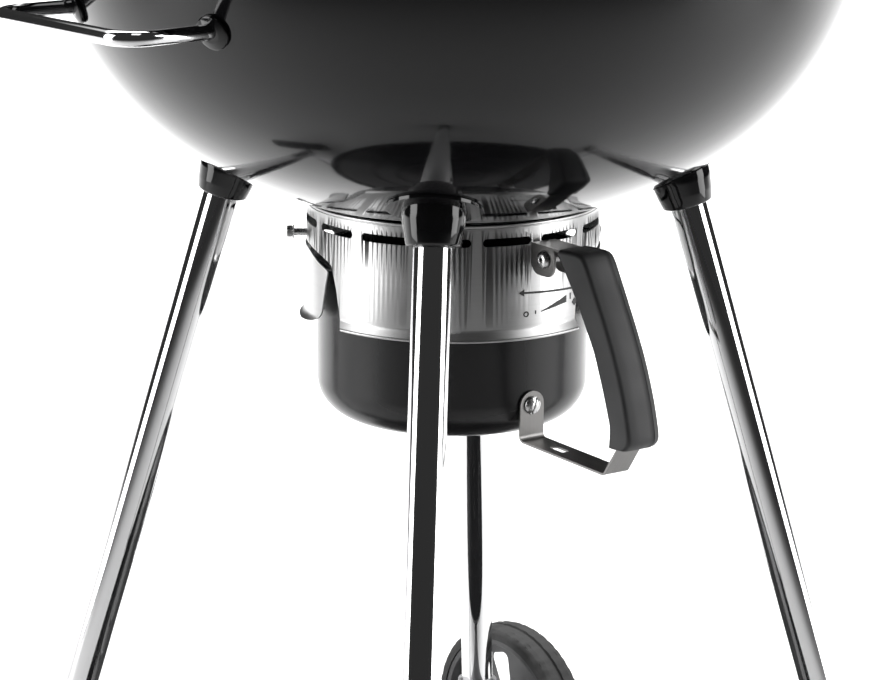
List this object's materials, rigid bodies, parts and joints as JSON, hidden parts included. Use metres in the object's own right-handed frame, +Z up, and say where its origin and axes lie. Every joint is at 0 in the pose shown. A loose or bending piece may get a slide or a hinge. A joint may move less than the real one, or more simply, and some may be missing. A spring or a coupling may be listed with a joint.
{
  "type": "kettle charcoal grill",
  "caption": "Round kettle charcoal grill on splayed tube legs with wheels, lift-off domed lid, grates, bottom damper and a drop-down ash pan with a strap handle.",
  "frame": {"origin": "on the floor, at the middle of the bounding box's footprint; the kettle's axis is 9.9 mm in front of it", "axes": "+Z up, -Y to the front (the lid's handle side), +X to the right seen from behind the front"},
  "size_m": [0.6456, 0.5844, 1.0158],
  "materials": {
    "enamel_black": "black porcelain enamel, high gloss",
    "enamel_pan": "black enamel, half gloss",
    "tube_chrome": "bright chrome plate",
    "band_stainless": "stainless sheet brushed round",
    "strap_steel": "dark steel strap, brushed along its length",
    "screw_steel": "turned stainless, satin",
    "grip_black": "black moulded plastic, fine grain",
    "rubber_black": "black rubber",
    "wheel_plastic": "dark grey moulded plastic",
    "iron_black": "seasoned cast iron",
    "plated_steel": "zinc-plated steel",
    "dial_white": "white painted dial",
    "pointer_red": "red painted pointer",
    "gauge_glass": "clear glass"
  },
  "bodies": {
    "bowl_stand": {"bowl": "enamel_black", "leg_collar_front_left": "enamel_black", "leg_collar_front_right": "enamel_black", "leg_collar_rear_left": "enamel_black", "leg_collar_rear_right": "enamel_black", "leg_front_left": "tube_chrome", "leg_front_right": "tube_chrome", "leg_rear_left": "tube_chrome", "leg_rear_right": "tube_chrome", "foot_front_left": "grip_black", "foot_front_right": "grip_black", "wheel_axle": "plated_steel", "shelf": "enamel_pan", "shelf_clip_front_left": "plated_steel", "shelf_clip_front_right": "plated_steel", "shelf_clip_rear_left": "plated_steel", "shelf_clip_rear_right": "plated_steel", "ash_catcher_band": "band_stainless", "latch_bolt_left": "screw_steel", "latch_bolt_right": "screw_steel", "latch_nut_left": "screw_steel", "latch_nut_right": "screw_steel", "bowl_handle_left": "tube_chrome", "bowl_handle_right": "tube_chrome", "grate_bracket_1": "plated_steel", "grate_bracket_2": "plated_steel", "grate_bracket_3": "plated_steel"},
    "lid": {"lid": "enamel_black", "lid_handle_bar": "grip_black", "lid_handle_post_left": "screw_steel", "lid_handle_post_right": "screw_steel", "lid_hook": "plated_steel", "gauge_case": "screw_steel", "gauge_dial": "dial_white", "gauge_glass": "gauge_glass", "lid_vent_rivet": "screw_steel"},
    "lid_vent": {"lid_vent_disc": "band_stainless", "lid_vent_knob": "grip_black"},
    "gauge_pointer": {"gauge_pointer": "pointer_red"},
    "cooking_grate": {"cooking_grate": "iron_black"},
    "charcoal_grate": {"charcoal_grate": "iron_black"},
    "damper": {"damper_blades": "plated_steel", "damper_shaft": "plated_steel", "damper_nut": "screw_steel"},
    "ash_pan": {"ash_pan": "enamel_pan", "pan_crossbar": "plated_steel", "handle_strap": "strap_steel", "handle_grip": "grip_black", "foot_screw": "screw_steel", "foot_nut": "screw_steel", "ear_screw": "screw_steel", "ear_nut": "screw_steel"},
    "latch_left": {"latch_left": "band_stainless"},
    "latch_right": {"latch_right": "band_stainless"},
    "wheel_left": {"wheel_hub_left": "wheel_plastic", "tyre_left": "rubber_black"},
    "wheel_right": {"wheel_hub_right": "wheel_plastic", "tyre_right": "rubber_black"}
  },
  "joints": [
    {"name": "lid_lift", "type": "slide", "parent": "bowl_stand", "child": "lid", "axis": [0, 0, 1], "range_m": [0, 0.4]},
    {"name": "lid_vent_turn", "type": "hinge", "parent": "lid", "child": "lid_vent", "pos_m": [0, 0.09511, 0.96993], "axis": [0, 0.3043, 0.9526], "range_deg": [-60, 60]},
    {"name": "gauge_pointer_swing", "type": "hinge", "parent": "lid", "child": "gauge_pointer", "pos_m": [0.13396, -0.11455, 0.94151], "axis": [0.3883, -0.3034, 0.8702], "range_deg": [-240, 0]},
    {"name": "cooking_grate_lift", "type": "slide", "parent": "bowl_stand", "child": "cooking_grate", "axis": [0, 0, 1], "range_m": [0, 0.08]},
    {"name": "charcoal_grate_lift", "type": "slide", "parent": "bowl_stand", "child": "charcoal_grate", "axis": [0, 0, 1], "range_m": [0, 0.085]},
    {"name": "damper_turn", "type": "hinge", "parent": "bowl_stand", "child": "damper", "pos_m": [0, -0.00989, 0.585], "axis": [0, 0, 1], "range_deg": [-6, 26]},
    {"name": "pan_drop", "type": "slide", "parent": "damper", "child": "ash_pan", "axis": [0, 0, -1], "range_m": [0, 0.12]},
    {"name": "latch_left_flex", "type": "hinge", "parent": "bowl_stand", "child": "latch_left", "pos_m": [-0.08034, 0.05065, 0.5675], "axis": [0.6018, 0.7986, 0], "range_deg": [0, 4], "stiffness_Nm_per_rad": 1.5},
    {"name": "latch_right_flex", "type": "hinge", "parent": "bowl_stand", "child": "latch_right", "pos_m": [0.08034, -0.07043, 0.5675], "axis": [-0.6018, -0.7986, 0], "range_deg": [0, 4], "stiffness_Nm_per_rad": 1.5},
    {"name": "wheel_left_spin", "type": "hinge", "parent": "bowl_stand", "child": "wheel_left", "pos_m": [-0.26069, 0.2122, 0.08], "axis": [1, 0, 0], "continuous": true},
    {"name": "wheel_right_spin", "type": "hinge", "parent": "bowl_stand", "child": "wheel_right", "pos_m": [0.26069, 0.2122, 0.08], "axis": [1, 0, 0], "continuous": true}
  ]
}
